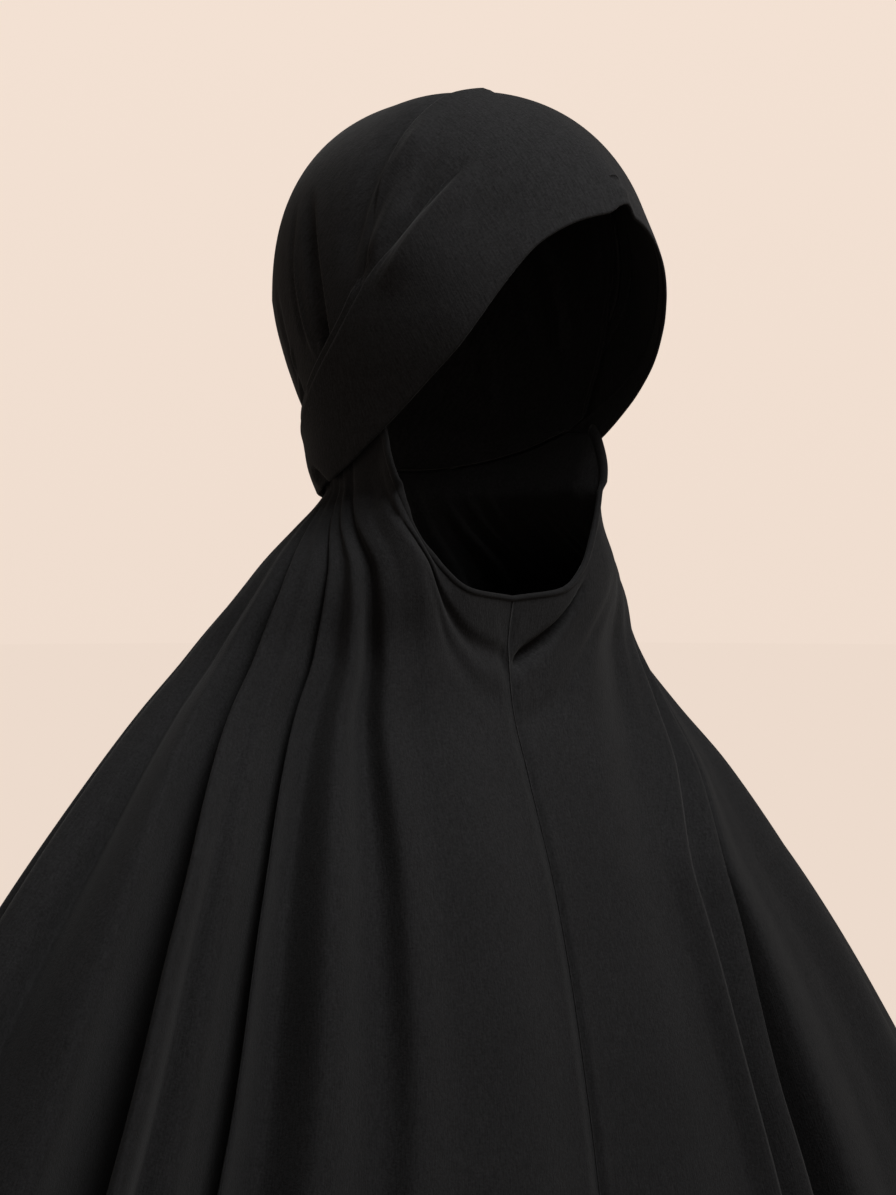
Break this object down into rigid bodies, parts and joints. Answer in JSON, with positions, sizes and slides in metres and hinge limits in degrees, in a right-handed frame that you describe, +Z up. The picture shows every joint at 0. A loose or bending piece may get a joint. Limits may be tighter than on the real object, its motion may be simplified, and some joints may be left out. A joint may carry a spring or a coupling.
{
  "type": "khimar veil",
  "caption": "Close-fitting head veil with a wrapped brow band and a wide, deeply folded cape, held in its worn form.",
  "frame": {"origin": "inside of the crown, where the hood sits on top of the head", "axes": "+Z up along the head, +Y towards the back of the head, +X towards the wearer's left"},
  "size_m": [0.927, 0.2735, 0.8535],
  "materials": {
    "crepe": "matte black crepe with a fine soft grain",
    "crepe_edge": "matte black crepe, rolled and stitched"
  },
  "bodies": {
    "root": {"crown_hood": "crepe", "brow_wrap": "crepe", "cape_right": "crepe", "cape_left": "crepe", "face_binding": "crepe_edge"}
  },
  "joints": []
}
